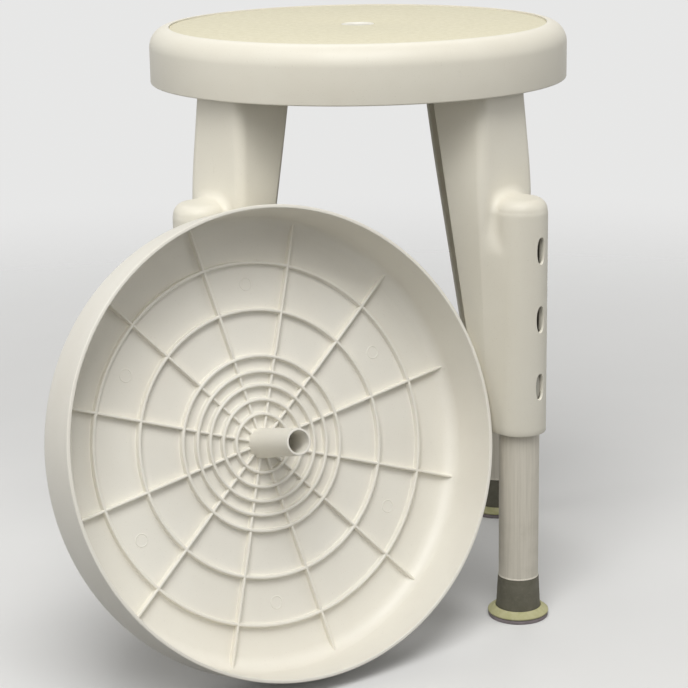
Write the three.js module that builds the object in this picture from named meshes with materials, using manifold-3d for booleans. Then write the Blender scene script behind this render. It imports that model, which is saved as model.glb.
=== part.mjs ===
// A round plastic shower stool with height-adjustable legs, and the swivel disc seat that leans on it.
// Lengths are in millimetres. +Z is up, -Y is the stool's front, and the stool stands on Z = 0.

import * as THREE from "three";
import { mergeVertices } from "three/addons/utils/BufferGeometryUtils.js";
import Module from "manifold-3d";

const wasm = await Module();
wasm.setup();

// Clearances and cutting
const FIT_GAP = 0.3;
const OVERRUN = 4;

// Stool seat
const SEAT_HEIGHT = 490;
const SEAT_RADIUS = 178;
const SKIRT_HEIGHT = 46.5;
const CROWN_RADIUS = 17;
const SEAT_WALL = 3.5;
const SEAT_PLATE = 4;
const PANEL_SINK = 1.2;
const PANEL_THICKNESS = 2;
const SEAT_RIB_DEPTH = 16;
const SEAT_RIB_WIDTH = 2.6;
const SEAT_RIB_ANGLES_DEG = [0, 22.5, 67.5];

// Pivot in the middle of the seat
const SPIGOT_ROOT_RADIUS = 12.2;
const SPIGOT_TIP_RADIUS = 10.6;
const BUSH_WALL = 1.6;
const BUSH_LENGTH = 41;
const BUSH_LIP = 2.2;
const HUB_WALL = 3.5;

// Legs
const TUBE_REACH = 183.8;
const LEG_WALL = 3.5;
const LEG_RIDGE_RADIUS = 9;
const LEG_TOP_DROP = 19.5;
const LEG_TOP_PLATE = 5;

// Sockets on the legs
const SOCKET_WALL = 5;
const SOCKET_BOTTOM = 164.5;
const SOCKET_TOP = 362;
const SOCKET_SHOULDER = 14;
const SLOT_WIDTH = 8.2;
const SLOT_LENGTH = 21;
const SLOT_PITCH = 57;
const SLOT_COUNT = 3;
const LOWEST_SLOT = 205.7;
const KEYWAY_DEPTH = 3;

// A leg channel's section at three heights: how far out its web and its inner edges reach,
// half its width, and how far its middle sits to the side of the tube's axis
const LEG_SECTIONS = {
  top: { web: 162.3, inner: 102.4, half: 26.3, aside: 2 },
  shoulder: { web: 170.3, inner: 129.4, half: 32.6, aside: 2 },
  foot: { web: 176, inner: 158.8, half: 21, aside: 0 },
};

// Extension tubes and feet
const TUBE_RADIUS = 16.7;
const TUBE_WALL = 2.4;
const TUBE_ABOVE_SLOT = 20;
const COLLAR_TOP = 37;
const COLLAR_TOP_RADIUS = 17.4;
const COLLAR_BOTTOM_RADIUS = 18.8;
const PLUG_LENGTH = 24;
const SOLE_RADIUS = 25.7;
const SOLE_THICKNESS = 4.2;
const SOLE_STUD_RADIUS = 9;
const SOLE_STUD_HEIGHT = 11;

// Lock buttons and their springs
const BUTTON_STANDOUT = 2.7;
const BUTTON_BASE_REACH = 12.8;
const BUTTON_BASE_THICKNESS = 1.5;
const BUTTON_BASE_LIP = 1.2;
const SPRING_WIDTH = 6;
const SPRING_STRIP = 0.8;
const SPRING_DROP = 38;
const SPRING_BEND_RADIUS = 3;

// Leg screws
const SCREW_RADIUS = 2.2;
const SCREW_HEAD_RADIUS = 5;
const SCREW_HEAD_HEIGHT = 2.8;
const SCREW_BITE = 9;
const SCREW_REACH = 131;
const SCREW_SPREAD = 13;
const BOSS_RADIUS = 6;

// Swivel disc
const DISC_RADIUS = 186;
const DISC_HEIGHT = 60;
const DISC_CROWN_RADIUS = 16;
const DISC_WALL = 3;
const DISC_DRAFT = 1.8;
const DISC_FILLET = 9;
const DISC_DISH = 1.2;
const DISC_DISH_SLOPE = 6;
const DISC_RIB_PLANE = 48.9;
const DISC_RIB_HEIGHT = 5;
const DISC_RIB_WIDTH = 2.6;
const DISC_RIB_COUNT = 12;
const DISC_RIB_PHASE_DEG = 18.8;
const DISC_RING_RADII = [23.5, 35, 46.5, 57.5, 70, 107, 145];
const SPIGOT_PROUD = 11.5;
const SPIGOT_WALL = 1.8;

// Where the disc leans
const DISC_TURN_DEG = 30.9;
const DISC_LEAN_DEG = 15.95;
const DISC_OFFSET_X = -55.4;
const DISC_TOUCH_ASIDE = 20.6;

// Legs in turn from the right of the back, a quarter turn apart
const LEG_SIDES = ["back_right", "back_left", "front_left", "front_right"];

// Number of straight steps in round shapes
const SEAT_STEPS = 56;
const DISC_STEPS = 40;
const TUBE_STEPS = 24;
const SMALL_STEPS = 8;
const CROWN_STEPS = 6;
const OVAL_STEPS = 3;

// Sizes that follow from the ones above
const LEG_COUNT = LEG_SIDES.length;
const SKIRT_BOTTOM = SEAT_HEIGHT - SKIRT_HEIGHT;
const PANEL_TOP = SEAT_HEIGHT - PANEL_SINK;
const PANEL_SEAT = PANEL_TOP - PANEL_THICKNESS - FIT_GAP;
const PLATE_UNDERSIDE = PANEL_SEAT - SEAT_PLATE;
const PANEL_RADIUS = SEAT_RADIUS - CROWN_RADIUS;
const BUSH_BORE = SPIGOT_ROOT_RADIUS + FIT_GAP;
const BUSH_RADIUS = BUSH_BORE + BUSH_WALL;
const HUB_BORE = BUSH_RADIUS + FIT_GAP;
const HUB_BOTTOM = PANEL_TOP - BUSH_LENGTH;
const LEG_TOP = SEAT_HEIGHT - LEG_TOP_DROP;
const BOSS_BOTTOM = LEG_TOP + FIT_GAP;
const SOCKET_BORE = TUBE_RADIUS + FIT_GAP;
const SOCKET_RADIUS = SOCKET_BORE + SOCKET_WALL;
const KEYWAY_RADIUS = SOCKET_BORE + KEYWAY_DEPTH;
const TUBE_BORE = TUBE_RADIUS - TUBE_WALL;
const TUBE_TOP = LOWEST_SLOT + TUBE_ABOVE_SLOT;
const TUBE_BOTTOM = COLLAR_TOP + FIT_GAP;
const DISC_FLOOR = DISC_RIB_PLANE + DISC_RIB_HEIGHT;
const DISC_PLATE_TOP = DISC_HEIGHT - DISC_DISH;

const radians = THREE.MathUtils.degToRad;
const lerp = THREE.MathUtils.lerp;

function legAngleDeg(index) {
  return ((index + 0.5) * 360) / LEG_COUNT;
}

function plastic(color, roughness) {
  return new THREE.MeshStandardMaterial({ color, roughness, metalness: 0 });
}

function steel(color, roughness) {
  return new THREE.MeshStandardMaterial({ color, roughness, metalness: 1 });
}

const materials = {
  moulding: plastic(0xe6e1d4, 0.42),
  panel: plastic(0xe3dcc0, 0.55),
  bush: plastic(0xf0eee4, 0.35),
  tube: plastic(0xb9b4a5, 0.55),
  plug: plastic(0x5a584e, 0.75),
  sole: plastic(0xafac85, 0.8),
  button: plastic(0xa6a396, 0.45),
  spring: steel(0xc4c6c8, 0.3),
  screw: steel(0xb8babc, 0.35),
};

// Closed solids that can be joined and cut
function toSolid(geometry) {
  const bare = geometry.clone();
  bare.deleteAttribute("normal");
  bare.deleteAttribute("uv");
  const merged = mergeVertices(bare);
  const vertProperties = new Float32Array(merged.attributes.position.array);
  const triVerts = new Uint32Array(merged.index.array);
  return new wasm.Manifold(new wasm.Mesh({ numProp: 3, vertProperties, triVerts }));
}

function toGeometry(solid) {
  const mesh = solid.getMesh();
  const geometry = new THREE.BufferGeometry();
  geometry.setAttribute("position", new THREE.BufferAttribute(mesh.vertProperties, 3));
  geometry.setIndex(new THREE.BufferAttribute(mesh.triVerts, 1));
  geometry.computeVertexNormals();
  return geometry;
}

function joined(solids) {
  return solids.reduce((sum, solid) => sum.add(solid));
}

function without(solid, cuts) {
  return cuts.reduce((rest, cut) => rest.subtract(cut), solid);
}

// A profile of [radius, height] points turned about the Z axis
function turned(profile, steps) {
  const points = profile.map(([radius, height]) => new THREE.Vector2(radius, height));
  return new THREE.LatheGeometry(points, steps).rotateX(Math.PI / 2);
}

// A ring's profile runs round and closes on itself
function turnedRing(profile, steps) {
  return turned([...profile, profile[0]], steps);
}

// Points of a quarter round from one angle to another about a centre
function roundPoints(centre, radius, fromDeg, toDeg, steps) {
  return Array.from({ length: steps + 1 }, (_, i) => {
    const angle = radians(lerp(fromDeg, toDeg, i / steps));
    return [centre[0] + radius * Math.cos(angle), centre[1] + radius * Math.sin(angle)];
  });
}

function cylinder(radius, low, high, steps) {
  return turned([[0, low], [radius, low], [radius, high], [0, high]], steps);
}

// An oval block whose long side stands up, running outward along X from one reach to another
function ovalBlock(width, length, innerReach, outerReach) {
  const half = width / 2;
  const straight = length / 2 - half;
  const shape = new THREE.Shape();
  shape.absarc(0, straight, half, 0, Math.PI);
  shape.absarc(0, -straight, half, Math.PI, 2 * Math.PI);
  const block = new THREE.ExtrudeGeometry(shape, {
    depth: outerReach - innerReach,
    curveSegments: OVAL_STEPS,
    bevelEnabled: false,
  });
  return block.rotateX(Math.PI / 2).rotateZ(Math.PI / 2).translate(innerReach, 0, 0);
}

function addMesh(group, name, geometry, material) {
  const mesh = new THREE.Mesh(geometry, material);
  mesh.name = name;
  group.add(mesh);
  return mesh;
}

// Seat moulding: crown and skirt, plate under the panel, pivot hub, ribs and screw bosses
function seatShell() {
  const crownCentre = [SEAT_RADIUS - CROWN_RADIUS, SEAT_HEIGHT - CROWN_RADIUS];
  const inner = SEAT_RADIUS - SEAT_WALL;
  const innerCrown = CROWN_RADIUS - SEAT_WALL;
  const innerCentre = [inner - innerCrown, PLATE_UNDERSIDE - innerCrown];
  const profile = [
    [inner, SKIRT_BOTTOM],
    [SEAT_RADIUS, SKIRT_BOTTOM],
    ...roundPoints(crownCentre, CROWN_RADIUS, 0, 90, CROWN_STEPS),
    [PANEL_RADIUS, PANEL_SEAT],
    [HUB_BORE, PANEL_SEAT],
    [HUB_BORE, HUB_BOTTOM],
    [HUB_BORE + HUB_WALL, HUB_BOTTOM],
    [HUB_BORE + HUB_WALL, PLATE_UNDERSIDE],
    ...roundPoints(innerCentre, innerCrown, 90, 0, CROWN_STEPS / 2),
  ];
  return toSolid(turnedRing(profile, SEAT_STEPS));
}

function seatRib(angleDeg) {
  const start = HUB_BORE + HUB_WALL / 2;
  const end = SEAT_RADIUS - SEAT_WALL / 2;
  const outerDrop = SEAT_RADIUS - SEAT_WALL - CROWN_RADIUS;
  const shape = new THREE.Shape();
  shape.moveTo(start, PLATE_UNDERSIDE + SEAT_PLATE / 2);
  shape.lineTo(start, PLATE_UNDERSIDE - SEAT_RIB_DEPTH);
  shape.lineTo(end, PLATE_UNDERSIDE - SEAT_RIB_DEPTH);
  shape.lineTo(end, PLATE_UNDERSIDE - CROWN_RADIUS / 2);
  shape.lineTo(outerDrop, PLATE_UNDERSIDE + SEAT_PLATE / 2);
  const rib = new THREE.ExtrudeGeometry(shape, { depth: SEAT_RIB_WIDTH, bevelEnabled: false });
  rib.translate(0, 0, -SEAT_RIB_WIDTH / 2);
  return toSolid(rib.rotateX(Math.PI / 2).rotateZ(radians(angleDeg)));
}

function screwPlaces() {
  const places = [];
  for (let leg = 0; leg < LEG_COUNT; leg += 1) {
    for (const side of [-1, 1]) {
      const place = new THREE.Vector3(SCREW_REACH, side * SCREW_SPREAD, 0);
      places.push(place.applyAxisAngle(new THREE.Vector3(0, 0, 1), radians(legAngleDeg(leg))));
    }
  }
  return places;
}

function seatMoulding() {
  const ribs = [];
  for (let leg = 0; leg < LEG_COUNT; leg += 1) {
    for (const angle of SEAT_RIB_ANGLES_DEG) {
      ribs.push(seatRib(angle + (leg * 360) / LEG_COUNT));
    }
  }
  const bosses = screwPlaces().map((place) => {
    const boss = cylinder(BOSS_RADIUS, BOSS_BOTTOM, PLATE_UNDERSIDE + SEAT_PLATE / 2, SMALL_STEPS);
    return toSolid(boss.translate(place.x, place.y, 0));
  });
  const holes = screwPlaces().map((place) => {
    const top = BOSS_BOTTOM + SCREW_BITE + FIT_GAP;
    const hole = cylinder(SCREW_RADIUS + FIT_GAP, BOSS_BOTTOM - OVERRUN, top, SMALL_STEPS);
    return toSolid(hole.translate(place.x, place.y, 0));
  });
  return toGeometry(without(joined([seatShell(), ...ribs, ...bosses]), holes));
}

function topPanel() {
  const inner = BUSH_RADIUS + FIT_GAP;
  const outer = PANEL_RADIUS - FIT_GAP;
  const low = PANEL_TOP - PANEL_THICKNESS;
  return turnedRing([[inner, low], [outer, low], [outer, PANEL_TOP], [inner, PANEL_TOP]], SEAT_STEPS);
}

function pivotBush() {
  const lipTop = HUB_BOTTOM - FIT_GAP;
  const lipRadius = HUB_BORE + HUB_WALL / 2;
  return turnedRing(
    [
      [BUSH_BORE, lipTop - BUSH_LIP],
      [lipRadius, lipTop - BUSH_LIP],
      [lipRadius, lipTop],
      [BUSH_RADIUS, lipTop],
      [BUSH_RADIUS, PANEL_TOP],
      [BUSH_BORE, PANEL_TOP],
    ],
    TUBE_STEPS,
  );
}

// Leg sections, measured outward along X from the stool's axis
function legSize(name, height) {
  const { top, shoulder, foot } = LEG_SECTIONS;
  if (height > SOCKET_TOP) {
    return lerp(shoulder[name], top[name], (height - SOCKET_TOP) / (LEG_TOP - SOCKET_TOP));
  }
  const share = (height - SOCKET_BOTTOM) / (SOCKET_TOP - SOCKET_BOTTOM);
  return lerp(foot[name], shoulder[name], share);
}

// Centre of one ridge's rounding, on the channel's right (side -1) or left (side 1)
function ridgeCentre(height, side) {
  const across = legSize("half", height) - LEG_RIDGE_RADIUS;
  return [legSize("web", height) - LEG_RIDGE_RADIUS, side * across + legSize("aside", height)];
}

// An upright prism whose points move in straight lines from its low section to its high one
function leaningPrism(lowPoints, highPoints, low, high) {
  const shape = new THREE.Shape(lowPoints.map(([x, y]) => new THREE.Vector2(x, y)));
  const prism = new THREE.ExtrudeGeometry(shape, { depth: high - low, bevelEnabled: false });
  const position = prism.attributes.position;
  const middle = (high - low) / 2;
  for (let i = 0; i < position.count; i += 1) {
    if (position.getZ(i) > middle) {
      const nearest = nearestPoint(lowPoints, position.getX(i), position.getY(i));
      position.setXY(i, ...highPoints[nearest]);
    }
  }
  return prism.translate(0, 0, low);
}

function nearestPoint(points, x, y) {
  const distances = points.map((point) => Math.hypot(point[0] - x, point[1] - y));
  return distances.indexOf(Math.min(...distances));
}

// Outline of the channel at one height: web with two rounded ridges, and sides running inward
function channelSection(height, inset, deeper) {
  const half = legSize("half", height) - inset;
  const aside = legSize("aside", height);
  const ridge = LEG_RIDGE_RADIUS - inset;
  const inner = legSize("inner", height) - deeper;
  return [
    [inner, aside - half],
    ...roundPoints(ridgeCentre(height, -1), ridge, -90, 0, CROWN_STEPS / 2),
    ...roundPoints(ridgeCentre(height, 1), ridge, 0, 90, CROWN_STEPS / 2),
    [inner, aside + half],
  ];
}

// The channel bends where its sockets' shoulders are, so it is made in two lengths
function channel(low, high, inset, deeper) {
  const lengths = [[low, SOCKET_TOP], [SOCKET_TOP, high]].map(([from, to]) => {
    const lowSection = channelSection(from, inset, deeper);
    const highSection = channelSection(to, inset, deeper);
    return toSolid(leaningPrism(lowSection, highSection, from, to));
  });
  return joined(lengths);
}

// Where the flat face beside one ridge leaves the ridge and meets the socket's round front
function fairingEdge(height, side) {
  const [ridgeX, sideways] = ridgeCentre(height, side);
  const ridgeY = side * sideways;
  const centreLine = Math.atan2(ridgeY, ridgeX - TUBE_REACH);
  const across = Math.hypot(ridgeX - TUBE_REACH, ridgeY);
  const tangent = centreLine - Math.acos((SOCKET_RADIUS - LEG_RIDGE_RADIUS) / across);
  return [
    [ridgeX, sideways],
    [
      ridgeX + LEG_RIDGE_RADIUS * Math.cos(tangent),
      side * (ridgeY + LEG_RIDGE_RADIUS * Math.sin(tangent)),
    ],
    [
      TUBE_REACH + SOCKET_RADIUS * Math.cos(tangent),
      side * SOCKET_RADIUS * Math.sin(tangent),
    ],
  ];
}

function fairingSection(height) {
  return [...fairingEdge(height, -1), ...fairingEdge(height, 1).reverse()];
}

// The flat faces end level where the socket's own shoulder begins
function shoulderProfile(reach) {
  const shoulderCentre = [SOCKET_RADIUS - SOCKET_SHOULDER, SOCKET_TOP - SOCKET_SHOULDER];
  return [
    [0, SOCKET_BOTTOM - OVERRUN],
    [reach, SOCKET_BOTTOM - OVERRUN],
    [reach, shoulderCentre[1]],
    ...roundPoints(shoulderCentre, SOCKET_SHOULDER, 0, 90, CROWN_STEPS / 2),
    [0, SOCKET_TOP],
  ];
}

function fairing() {
  const prism = leaningPrism(
    fairingSection(SOCKET_BOTTOM),
    fairingSection(SOCKET_TOP),
    SOCKET_BOTTOM,
    SOCKET_TOP,
  );
  const dome = turned(shoulderProfile(2 * SOCKET_RADIUS), TUBE_STEPS).translate(TUBE_REACH, 0, 0);
  return toSolid(prism).intersect(toSolid(dome));
}

function socketColumn() {
  const shoulderCentre = [SOCKET_RADIUS - SOCKET_SHOULDER, SOCKET_TOP - SOCKET_SHOULDER];
  const profile = [
    [0, SOCKET_BOTTOM],
    [SOCKET_RADIUS, SOCKET_BOTTOM],
    ...roundPoints(shoulderCentre, SOCKET_SHOULDER, 0, 90, CROWN_STEPS / 2),
    [0, SOCKET_TOP],
  ];
  return toSolid(turned(profile, TUBE_STEPS).translate(TUBE_REACH, 0, 0));
}

function socketBore() {
  const top = SOCKET_TOP - SOCKET_WALL;
  const bore = cylinder(SOCKET_BORE, SOCKET_BOTTOM - OVERRUN, top, TUBE_STEPS);
  return toSolid(bore.translate(TUBE_REACH, 0, 0));
}

function keyway() {
  const height = SOCKET_TOP - SOCKET_WALL - SOCKET_SHOULDER - (SOCKET_BOTTOM - OVERRUN);
  const groove = new THREE.BoxGeometry(KEYWAY_RADIUS, SLOT_WIDTH, height);
  const middle = SOCKET_BOTTOM - OVERRUN + height / 2;
  return toSolid(groove.translate(TUBE_REACH + KEYWAY_RADIUS / 2, 0, middle));
}

function lockSlots() {
  return Array.from({ length: SLOT_COUNT }, (_, i) => {
    const slot = ovalBlock(SLOT_WIDTH, SLOT_LENGTH, 0, SOCKET_RADIUS + OVERRUN);
    return toSolid(slot.translate(TUBE_REACH, 0, LOWEST_SLOT + i * SLOT_PITCH));
  });
}

function legScrewHoles() {
  return [-1, 1].map((side) => {
    const low = LEG_TOP - LEG_TOP_PLATE - OVERRUN;
    const hole = cylinder(SCREW_RADIUS + FIT_GAP, low, LEG_TOP + OVERRUN, SMALL_STEPS);
    return toSolid(hole.translate(SCREW_REACH, side * SCREW_SPREAD, 0));
  });
}

function legMoulding() {
  const outside = joined([channel(SOCKET_BOTTOM, LEG_TOP, 0, 0), fairing()]);
  const hollow = channel(SOCKET_BOTTOM - OVERRUN, LEG_TOP - LEG_TOP_PLATE, LEG_WALL, OVERRUN);
  const body = outside.subtract(hollow).add(socketColumn());
  return toGeometry(without(body, [socketBore(), keyway(), ...lockSlots(), ...legScrewHoles()]));
}

// Pieces on the axis of one leg's tube
function extensionTube() {
  const wall = turnedRing(
    [
      [TUBE_BORE, TUBE_BOTTOM],
      [TUBE_RADIUS, TUBE_BOTTOM],
      [TUBE_RADIUS, TUBE_TOP],
      [TUBE_BORE, TUBE_TOP],
    ],
    TUBE_STEPS,
  );
  const window = ovalBlock(SLOT_WIDTH, SLOT_LENGTH, 0, TUBE_RADIUS + OVERRUN);
  return toGeometry(toSolid(wall).subtract(toSolid(window.translate(0, 0, LOWEST_SLOT))));
}

function footPlug() {
  const plugRadius = TUBE_BORE - FIT_GAP;
  const studGap = SOLE_STUD_RADIUS + FIT_GAP;
  const low = SOLE_THICKNESS + FIT_GAP;
  return turned(
    [
      [0, low + SOLE_STUD_HEIGHT],
      [studGap, low + SOLE_STUD_HEIGHT],
      [studGap, low],
      [COLLAR_BOTTOM_RADIUS, low],
      [COLLAR_TOP_RADIUS, COLLAR_TOP],
      [plugRadius, COLLAR_TOP],
      [plugRadius, COLLAR_TOP + PLUG_LENGTH],
      [0, COLLAR_TOP + PLUG_LENGTH],
    ],
    TUBE_STEPS,
  );
}

function footSole() {
  const studTop = SOLE_THICKNESS + SOLE_STUD_HEIGHT;
  return turned(
    [
      [0, 0],
      [SOLE_RADIUS, 0],
      [SOLE_RADIUS, SOLE_THICKNESS],
      [SOLE_STUD_RADIUS, SOLE_THICKNESS],
      [SOLE_STUD_RADIUS, studTop],
      [0, studTop],
    ],
    TUBE_STEPS,
  );
}

function lockButton() {
  const shaft = ovalBlock(
    SLOT_WIDTH - 2 * FIT_GAP,
    SLOT_LENGTH - 2 * FIT_GAP,
    BUTTON_BASE_REACH - BUTTON_BASE_THICKNESS,
    TUBE_RADIUS + BUTTON_STANDOUT,
  );
  const base = ovalBlock(
    SLOT_WIDTH + 2 * BUTTON_BASE_LIP,
    SLOT_LENGTH + 2 * BUTTON_BASE_LIP,
    BUTTON_BASE_REACH - BUTTON_BASE_THICKNESS,
    BUTTON_BASE_REACH,
  );
  return toGeometry(toSolid(shaft).add(toSolid(base)).translate([0, 0, LOWEST_SLOT]));
}

// A strip bent in a narrow V: one arm behind the button, the other along the tube's far wall
function lockSpring() {
  const front = BUTTON_BASE_REACH - BUTTON_BASE_THICKNESS - FIT_GAP;
  const back = -Math.sqrt(TUBE_BORE ** 2 - (SPRING_WIDTH / 2) ** 2) + FIT_GAP;
  const bend = [back + SPRING_STRIP + SPRING_BEND_RADIUS, -SPRING_DROP];
  const armTop = SLOT_LENGTH / 2;
  const outerBend = roundPoints(bend, SPRING_BEND_RADIUS + SPRING_STRIP, 180, 360, CROWN_STEPS);
  const innerBend = roundPoints(bend, SPRING_BEND_RADIUS, 360, 180, CROWN_STEPS);
  const outline = [
    [back, armTop],
    ...outerBend,
    [front, 0],
    [front, armTop],
    [front - SPRING_STRIP, armTop],
    [front - SPRING_STRIP, 0],
    ...innerBend,
    [back + SPRING_STRIP, armTop],
  ];
  const shape = new THREE.Shape(outline.map(([x, y]) => new THREE.Vector2(x, y)));
  const strip = new THREE.ExtrudeGeometry(shape, { depth: SPRING_WIDTH, bevelEnabled: false });
  return strip.translate(0, 0, -SPRING_WIDTH / 2).rotateX(Math.PI / 2).translate(0, 0, LOWEST_SLOT);
}

function legScrew() {
  const headTop = LEG_TOP - LEG_TOP_PLATE - FIT_GAP;
  const dome = SCREW_HEAD_HEIGHT / 2;
  return turned(
    [
      [0, headTop - SCREW_HEAD_HEIGHT],
      [SCREW_HEAD_RADIUS - dome, headTop - SCREW_HEAD_HEIGHT],
      [SCREW_HEAD_RADIUS, headTop - dome],
      [SCREW_HEAD_RADIUS, headTop],
      [SCREW_RADIUS, headTop],
      [SCREW_RADIUS, BOSS_BOTTOM + SCREW_BITE],
      [0, BOSS_BOTTOM + SCREW_BITE],
    ],
    SMALL_STEPS,
  );
}

// Swivel disc, modelled rim down: its rim at zero height and its top plate above
function ringRibPoints(radius) {
  const half = DISC_RIB_WIDTH / 2;
  return [
    [radius - half, DISC_FLOOR],
    [radius - half, DISC_RIB_PLANE],
    [radius + half, DISC_RIB_PLANE],
    [radius + half, DISC_FLOOR],
  ];
}

function discShell() {
  const crownCentre = [DISC_RADIUS - DISC_CROWN_RADIUS, DISC_HEIGHT - DISC_CROWN_RADIUS];
  const rimInner = DISC_RADIUS - DISC_WALL;
  const wallTop = rimInner - DISC_DRAFT;
  const filletCentre = [wallTop - DISC_FILLET, DISC_FLOOR - DISC_FILLET];
  const spigotBore = SPIGOT_TIP_RADIUS - SPIGOT_WALL;
  return turned(
    [
      [0, DISC_FLOOR],
      [spigotBore, DISC_FLOOR],
      [spigotBore, -SPIGOT_PROUD],
      [SPIGOT_TIP_RADIUS, -SPIGOT_PROUD],
      [SPIGOT_ROOT_RADIUS, DISC_FLOOR],
      ...DISC_RING_RADII.flatMap(ringRibPoints),
      ...roundPoints(filletCentre, DISC_FILLET, 90, 0, CROWN_STEPS / 2),
      [rimInner, 0],
      [DISC_RADIUS, 0],
      ...roundPoints(crownCentre, DISC_CROWN_RADIUS, 0, 90, CROWN_STEPS),
      [DISC_RADIUS - DISC_CROWN_RADIUS - DISC_DISH_SLOPE, DISC_PLATE_TOP],
      [0, DISC_PLATE_TOP],
    ],
    DISC_STEPS,
  );
}

function discRib(index) {
  const start = (SPIGOT_TIP_RADIUS + SPIGOT_ROOT_RADIUS) / 2;
  const end = DISC_RADIUS - DISC_WALL - DISC_DRAFT;
  const height = DISC_RIB_HEIGHT + DISC_DISH;
  const rib = new THREE.BoxGeometry(end - start, DISC_RIB_WIDTH, height);
  rib.translate((start + end) / 2, 0, DISC_RIB_PLANE + height / 2);
  return toSolid(rib.rotateZ(radians(DISC_RIB_PHASE_DEG + (index * 360) / DISC_RIB_COUNT)));
}

function swivelDisc() {
  const ribs = Array.from({ length: DISC_RIB_COUNT }, (_, i) => discRib(i));
  return toGeometry(joined([toSolid(discShell()), ...ribs]));
}

// The disc stands on its edge on the floor and touches the front left leg with its back.
// The touching plane is upright, so the leg's reach along its normal gives the disc's place.
function legReachAlong(normal, height) {
  const legAngle = radians(legAngleDeg(LEG_SIDES.indexOf("front_left")));
  const outward = new THREE.Vector2(Math.cos(legAngle), Math.sin(legAngle));
  const along = normal.dot(outward);
  const across = Math.abs(normal.cross(outward));
  const column = TUBE_REACH * along + SOCKET_RADIUS;
  const [ridgeX, ridgeY] = ridgeCentre(height, 1);
  const ridge = ridgeX * along + ridgeY * across + LEG_RIDGE_RADIUS;
  return Math.max(column, ridge);
}

function discPlace() {
  const turn = radians(DISC_TURN_DEG);
  const lean = radians(DISC_LEAN_DEG);
  const flatRadius = DISC_RADIUS - DISC_CROWN_RADIUS;
  const crownDepth = DISC_HEIGHT - DISC_CROWN_RADIUS;
  const normal = new THREE.Vector2(Math.sin(turn), -Math.cos(turn));
  const touchRise = Math.sqrt(flatRadius ** 2 - DISC_TOUCH_ASIDE ** 2);
  const back = crownDepth * Math.cos(lean) + touchRise * Math.sin(lean) + DISC_CROWN_RADIUS;
  const z = flatRadius * Math.cos(lean) + crownDepth * Math.sin(lean) + DISC_CROWN_RADIUS;
  const touchHeight = z + touchRise * Math.cos(lean) - crownDepth * Math.sin(lean);
  const distance = legReachAlong(normal, touchHeight) + FIT_GAP + back;
  const y = (distance - DISC_OFFSET_X * normal.x) / normal.y;
  return new THREE.Vector3(DISC_OFFSET_X, y, z);
}

function leaningDisc() {
  const group = new THREE.Group();
  addMesh(group, "swivel_disc", swivelDisc(), materials.moulding);
  group.rotation.order = "ZXY";
  group.rotation.z = radians(DISC_TURN_DEG);
  group.rotation.x = -Math.PI / 2 - radians(DISC_LEAN_DEG);
  group.position.copy(discPlace());
  return group;
}

function adjustableLeg(side, turnDeg) {
  const leg = new THREE.Group();
  leg.rotation.z = radians(turnDeg);
  addMesh(leg, `leg_moulding_${side}`, legMoulding(), materials.moulding);
  for (const [label, across] of [["a", -SCREW_SPREAD], ["b", SCREW_SPREAD]]) {
    const screw = addMesh(leg, `leg_screw_${side}_${label}`, legScrew(), materials.screw);
    screw.position.set(SCREW_REACH, across, 0);
  }
  const axis = new THREE.Group();
  axis.position.x = TUBE_REACH;
  leg.add(axis);
  addMesh(axis, `extension_tube_${side}`, extensionTube(), materials.tube);
  addMesh(axis, `foot_plug_${side}`, footPlug(), materials.plug);
  addMesh(axis, `foot_sole_${side}`, footSole(), materials.sole);
  addMesh(axis, `lock_button_${side}`, lockButton(), materials.button);
  addMesh(axis, `lock_spring_${side}`, lockSpring(), materials.spring);
  return leg;
}

function showerStool() {
  const stool = new THREE.Group();
  addMesh(stool, "seat_moulding", seatMoulding(), materials.moulding);
  addMesh(stool, "seat_top_panel", topPanel(), materials.panel);
  addMesh(stool, "pivot_bush", pivotBush(), materials.bush);
  LEG_SIDES.forEach((side, index) => {
    stool.add(adjustableLeg(side, legAngleDeg(index)));
  });
  stool.add(leaningDisc());
  return stool;
}

// The origin is under the middle of the stool and its leaning disc, on the floor
function standingOnOrigin(object) {
  const box = new THREE.Box3().setFromObject(object, true);
  const middle = box.getCenter(new THREE.Vector3());
  object.position.set(-middle.x, -middle.y, 0);
  const stand = new THREE.Group();
  stand.add(object);
  return stand;
}

export default standingOnOrigin(showerStool());
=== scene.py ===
"""Looks of a round plastic shower stool and the swivel disc seat leaning on it.

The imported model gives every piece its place. The moulded pieces are rebuilt here with
smooth rounds and small radii. Shapes are written in millimetres and turned into metres.
"""

import math

import bmesh
import bpy
import numpy as np
from mathutils import Matrix, Vector


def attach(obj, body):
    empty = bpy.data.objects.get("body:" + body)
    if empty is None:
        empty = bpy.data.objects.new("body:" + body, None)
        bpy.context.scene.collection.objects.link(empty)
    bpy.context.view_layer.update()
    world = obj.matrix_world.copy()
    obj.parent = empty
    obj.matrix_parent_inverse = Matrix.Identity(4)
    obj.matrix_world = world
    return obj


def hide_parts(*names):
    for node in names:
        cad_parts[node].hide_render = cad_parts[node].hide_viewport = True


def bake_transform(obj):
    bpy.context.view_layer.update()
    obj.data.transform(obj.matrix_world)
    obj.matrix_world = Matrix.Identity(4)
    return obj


MM = 0.001
SMOOTH_BELOW = math.radians(34)

# The stool's upright axis, and the legs around it
STOOL_AXIS = Vector((31.476676, 83.161719, 0))
LEGS = {"back_right": 45, "back_left": 135, "front_left": 225, "front_right": 315}
TUBE_REACH = 183.8
SCREW_PLACES = {"a": (131, -13), "b": (131, 13)}

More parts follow.
